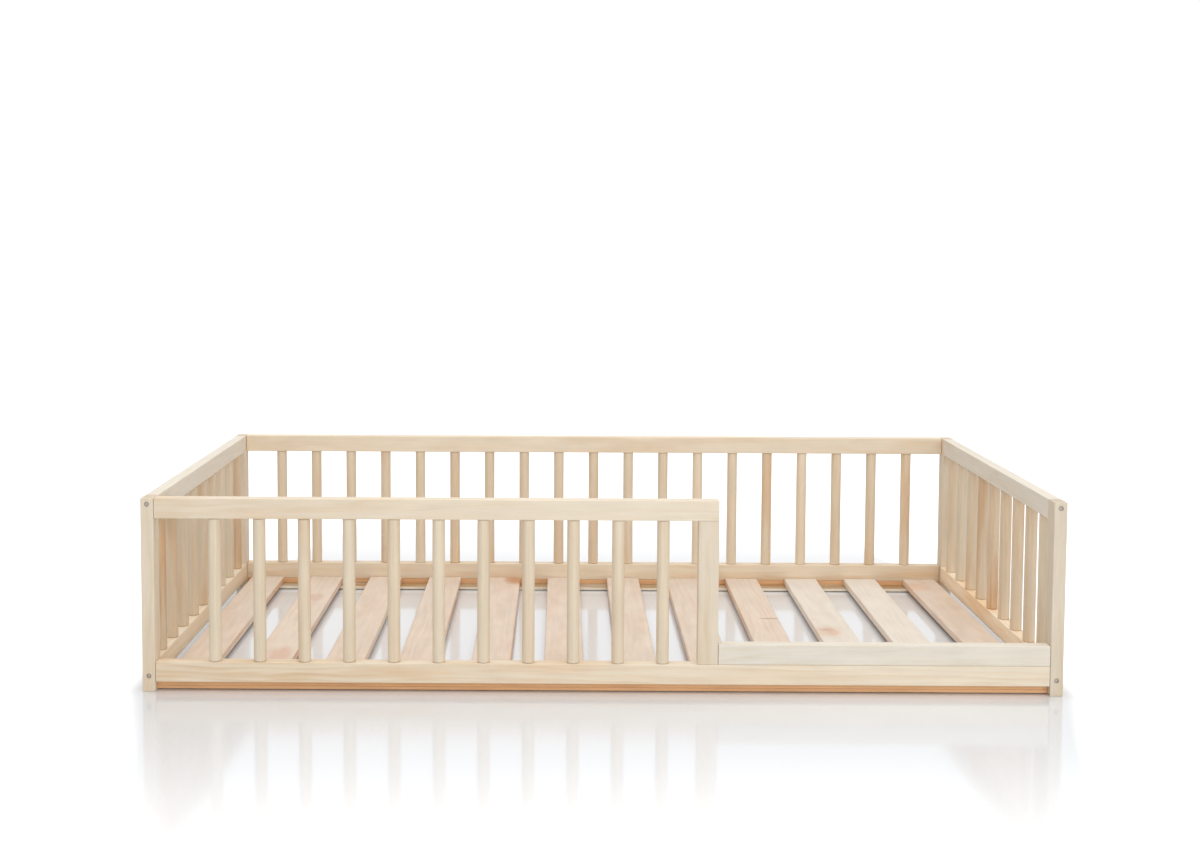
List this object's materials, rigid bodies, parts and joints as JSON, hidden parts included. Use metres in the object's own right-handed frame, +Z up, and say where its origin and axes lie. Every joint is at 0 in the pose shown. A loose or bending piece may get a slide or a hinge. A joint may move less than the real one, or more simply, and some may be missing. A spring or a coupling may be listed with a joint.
{
  "type": "toddler floor bed",
  "caption": "Low pine floor bed with spindle panels on all sides, an open doorway at the right of the front, and slats that carry a single mattress.",
  "frame": {"origin": "on the floor, in the middle of the bed's outline", "axes": "+Z up, +Y from the front, which has the doorway, to the back, +X along the bed towards the doorway's end"},
  "size_m": [1.976, 0.976, 0.42],
  "materials": {
    "pine_frame": "bare planed pine",
    "pine_spindles": "bare sanded pine",
    "pine_slats": "bare sawn pine",
    "ledge_wood": "bare planed wood",
    "zinc_steel": "zinc plated"
  },
  "bodies": {
    "root": {"front_left_post": "pine_frame", "back_left_post": "pine_frame", "front_right_post": "pine_frame", "back_right_post": "pine_frame", "front_top_rail": "pine_frame", "front_bottom_rail": "pine_frame", "doorway_stile": "pine_frame", "doorway_threshold": "pine_frame", "back_top_rail": "pine_frame", "back_bottom_rail": "pine_frame", "left_top_rail": "pine_frame", "left_bottom_rail": "pine_frame", "right_top_rail": "pine_frame", "right_bottom_rail": "pine_frame", "front_spindle_01": "pine_spindles", "front_spindle_02": "pine_spindles", "front_spindle_03": "pine_spindles", "front_spindle_04": "pine_spindles", "front_spindle_05": "pine_spindles", "front_spindle_06": "pine_spindles", "front_spindle_07": "pine_spindles", "front_spindle_08": "pine_spindles", "front_spindle_09": "pine_spindles", "front_spindle_10": "pine_spindles", "front_spindle_11": "pine_spindles", "back_spindles": "pine_spindles", "left_spindles": "pine_spindles", "right_spindles": "pine_spindles", "slat_01": "pine_slats", "slat_02": "pine_slats", "slat_03": "pine_slats", "slat_04": "pine_slats", "slat_05": "pine_slats", "slat_06": "pine_slats", "slat_07": "pine_slats", "slat_08": "pine_slats", "slat_09": "pine_slats", "slat_10": "pine_slats", "slat_11": "pine_slats", "slat_12": "pine_slats", "front_ledge": "ledge_wood", "front_ledge_batten": "ledge_wood", "back_ledge": "ledge_wood", "back_ledge_batten": "ledge_wood", "connector_screws": "zinc_steel", "ledge_brads": "zinc_steel", "slat_brads": "zinc_steel"}
  },
  "joints": []
}
